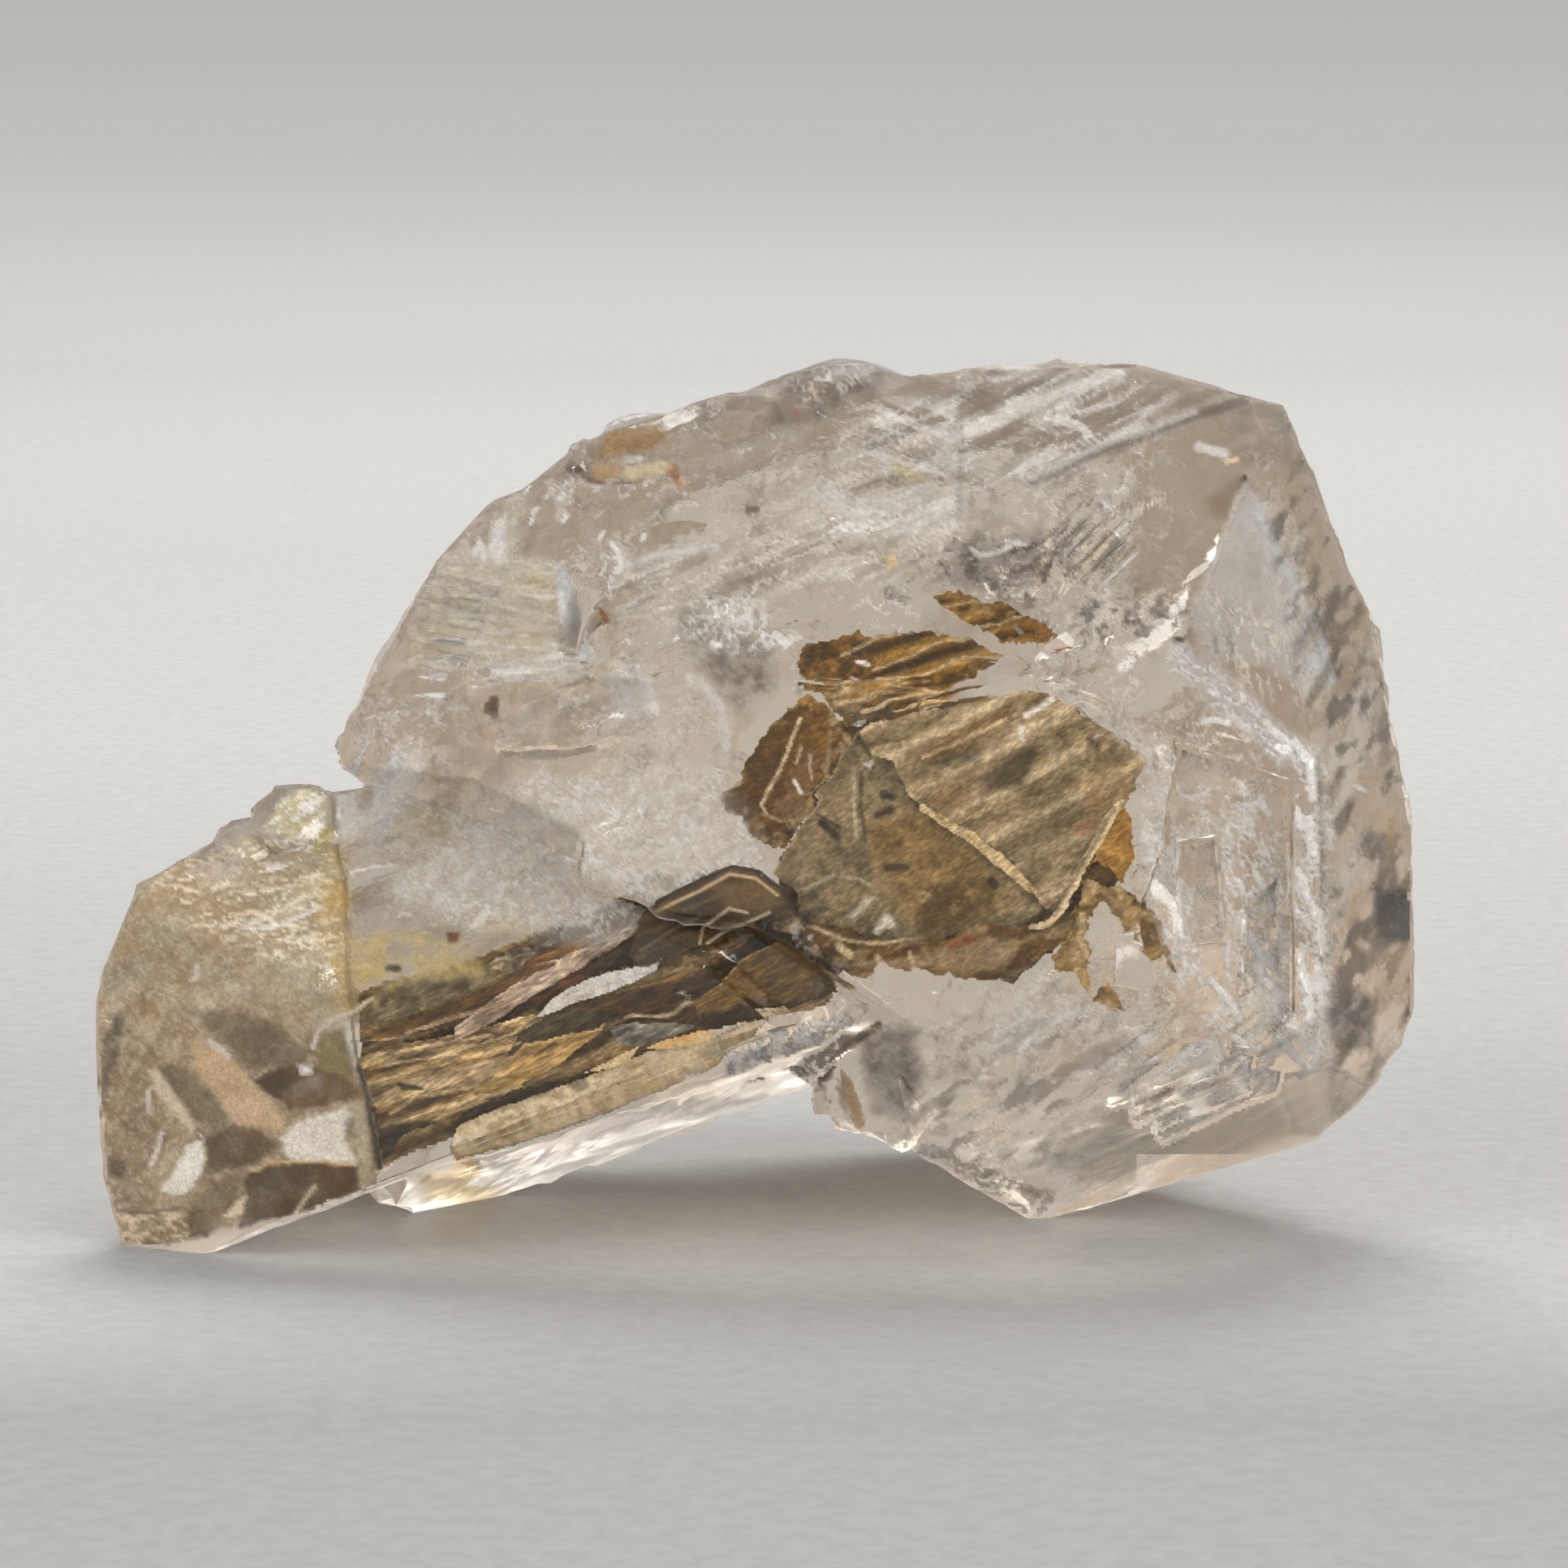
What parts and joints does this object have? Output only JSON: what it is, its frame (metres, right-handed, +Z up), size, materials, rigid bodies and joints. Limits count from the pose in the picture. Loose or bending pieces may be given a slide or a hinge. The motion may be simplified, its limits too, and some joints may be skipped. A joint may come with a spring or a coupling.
{
  "type": "window quartz crystal",
  "caption": "Clear, faintly smoky skeletal quartz crystal with a long limb, an arched underside, and brown clay films sealed in its window and along its limb.",
  "frame": {"origin": "centre of the bounding box's footprint, on the surface that the crystal rests on", "axes": "+X along the crystal's length from the limb to the thick end, +Y to the back, away from the window face, +Z up"},
  "size_m": [0.033, 0.0164, 0.022],
  "materials": {
    "quartz": "clear, faintly smoky, glassy with etched and frosted patches",
    "clay": "matte brown clay film"
  },
  "bodies": {
    "root": {"quartz": "quartz", "window_clay": "clay", "upper_clay": "clay", "clay_flakes": "clay", "seam_clay": "clay"}
  },
  "joints": []
}
